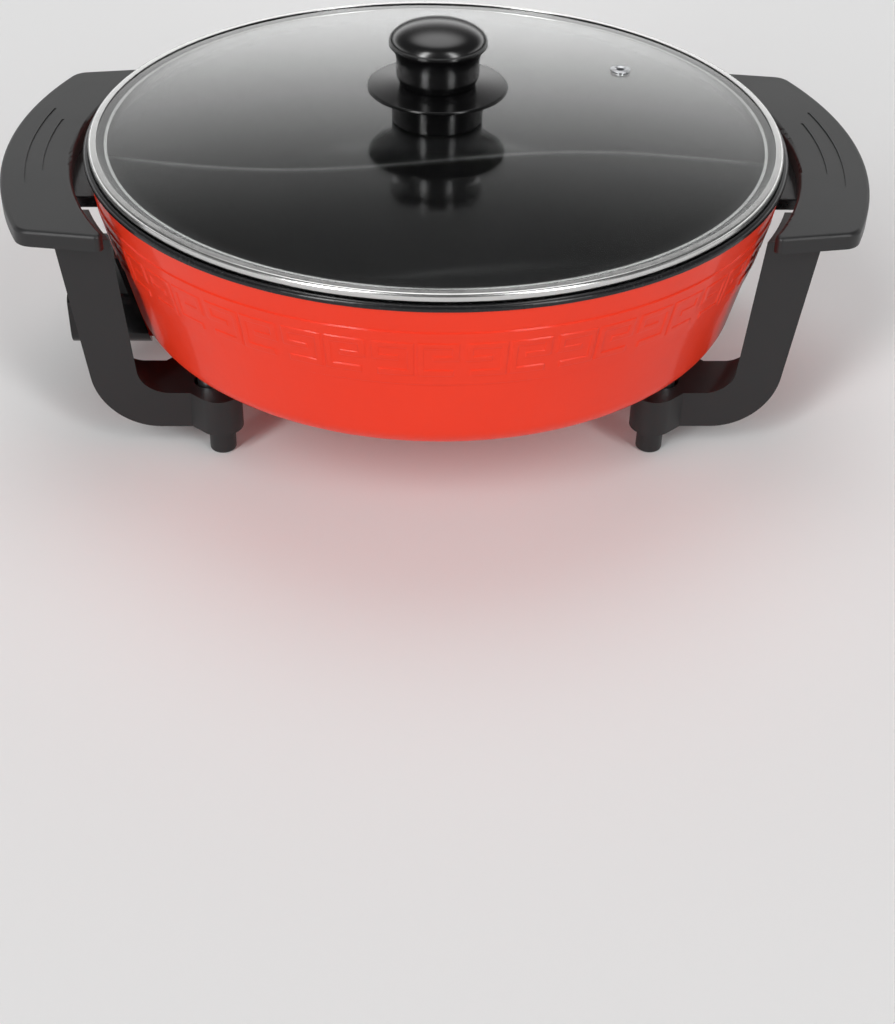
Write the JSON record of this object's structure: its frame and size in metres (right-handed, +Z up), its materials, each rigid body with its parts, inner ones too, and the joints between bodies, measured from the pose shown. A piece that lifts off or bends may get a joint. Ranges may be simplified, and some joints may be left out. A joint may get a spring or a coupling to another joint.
{
  "type": "electric hot pot with lid",
  "caption": "Round electric hot pot: cast pan with an S-shaped divider, handle brackets with legs, plug-in inlet and a lift-off glass lid with a knob.",
  "frame": {"origin": "on the table, under the centre of the pan", "axes": "+X from the handle over the inlet towards the other handle, +Y away from the front, +Z up out of the knob"},
  "size_m": [0.4252, 0.3454, 0.1861],
  "materials": {
    "red_coating": "glossy red outside, dark non-stick inside",
    "element_steel": "satin",
    "pin_metal": "plated",
    "seal_rubber": "matt",
    "sleeve_aluminium": "satin",
    "inlet_plastic": "glossy black",
    "screw_steel": "zinc plated",
    "bracket_plastic": "fine satin, dark grey",
    "post_metal": "dark satin",
    "clear_glass": "polished",
    "band_steel": "bright satin",
    "knob_plastic": "glossy black"
  },
  "bodies": {
    "pot": {"pan": "red_coating", "heating_element": "element_steel", "power_pins": "pin_metal", "pin_seals": "seal_rubber", "earth_pin": "pin_metal", "probe_sleeve": "sleeve_aluminium", "inlet_housing": "inlet_plastic", "housing_screws": "screw_steel", "handle_bracket_left": "bracket_plastic", "handle_bracket_right": "bracket_plastic", "support_posts": "post_metal", "leg_screws": "screw_steel", "leg_washers": "screw_steel", "ear_screws": "screw_steel"},
    "lid": {"lid_glass": "clear_glass", "lid_band": "band_steel", "vent_eyelet": "band_steel", "knob_gasket": "seal_rubber", "knob_guard": "knob_plastic", "knob": "knob_plastic", "knob_washer": "band_steel", "knob_screw": "screw_steel"}
  },
  "joints": [
    {"name": "lid_lift", "type": "slide", "parent": "pot", "child": "lid", "axis": [0, 0, 1], "range_m": [0, 0.2]}
  ]
}
